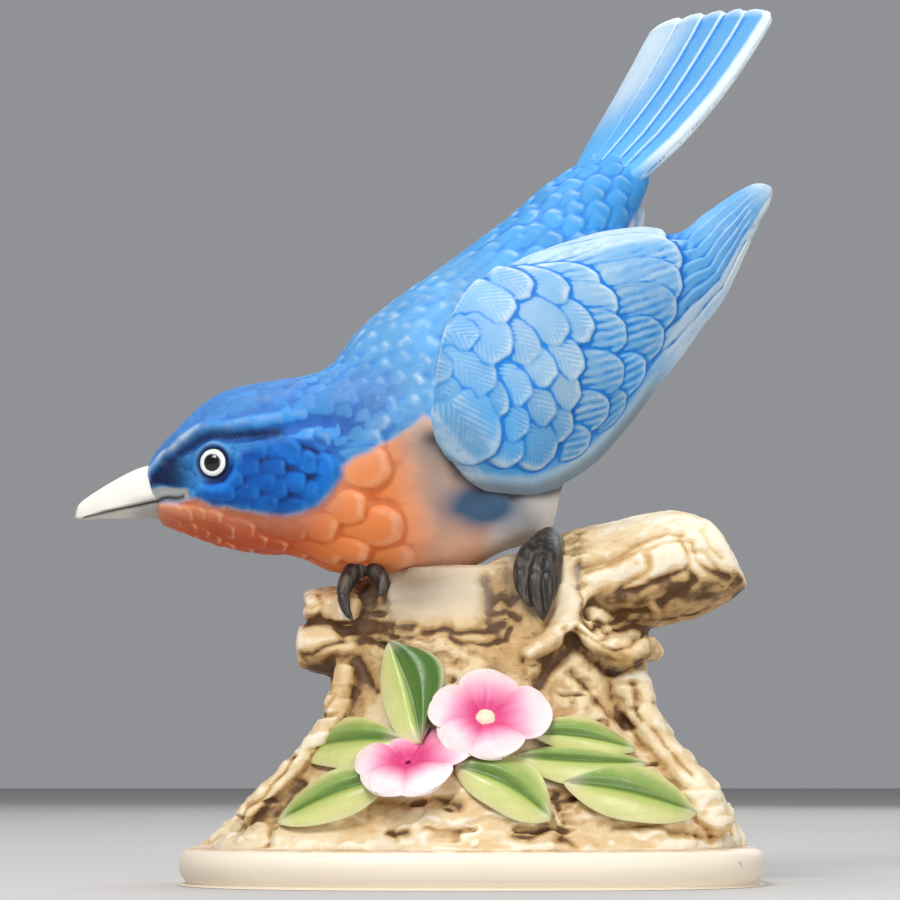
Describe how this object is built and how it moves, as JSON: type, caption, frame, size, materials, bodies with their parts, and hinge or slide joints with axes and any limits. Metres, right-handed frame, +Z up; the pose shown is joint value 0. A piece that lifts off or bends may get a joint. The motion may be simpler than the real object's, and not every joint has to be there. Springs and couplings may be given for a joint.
{
  "type": "porcelain figurine",
  "caption": "Bisque porcelain songbird, head low and tail raised, perched on a branching stump with pink blossoms and green leaves, on an oval plinth.",
  "frame": {"origin": "middle of the flat underside of the plinth", "axes": "+Z up to the tail, -X towards the bird's beak, -Y towards the side with the blossoms"},
  "size_m": [0.1272, 0.0765, 0.1676],
  "materials": {
    "cream_bisque": "plain cream porcelain with a soft satin skin",
    "bark_bisque": "ivory bisque with a tan-brown wash in the grooves",
    "bird_bisque": "matt bisque, airbrushed blue above and orange to peach below",
    "blue_bisque": "matt bisque, blue feathers with pale rubbed edges",
    "beak_bisque": "ivory bisque, grey at the gape",
    "eye_glaze": "glossy black pupil in a white ring",
    "foot_bisque": "charcoal bisque, lightly streaked",
    "button_bisque": "cream bisque button",
    "petal_bisque": "magenta throat fading to pale pink edges",
    "leaf_glaze": "yellow-green to dark green, half gloss"
  },
  "bodies": {
    "root": {"base_plinth": "cream_bisque", "stump": "bark_bisque", "branch_right": "bark_bisque", "branch_left": "bark_bisque", "bird_body": "bird_bisque", "wing_left": "blue_bisque", "wing_right": "blue_bisque", "tail": "blue_bisque", "beak_upper": "beak_bisque", "beak_lower": "beak_bisque", "eye_left": "eye_glaze", "eye_right": "eye_glaze", "foot_left": "foot_bisque", "foot_right": "foot_bisque", "flower_button": "button_bisque", "flower_upper_petal_1": "petal_bisque", "flower_upper_petal_2": "petal_bisque", "flower_upper_petal_3": "petal_bisque", "flower_upper_petal_4": "petal_bisque", "flower_upper_petal_5": "petal_bisque", "flower_lower_petal_1": "petal_bisque", "flower_lower_petal_2": "petal_bisque", "flower_lower_petal_3": "petal_bisque", "flower_lower_petal_4": "petal_bisque", "flower_lower_petal_5": "petal_bisque", "leaf_1": "leaf_glaze", "leaf_2": "leaf_glaze", "leaf_3": "leaf_glaze", "leaf_4": "leaf_glaze", "leaf_5": "leaf_glaze", "leaf_6": "leaf_glaze", "leaf_7": "leaf_glaze"}
  },
  "joints": []
}
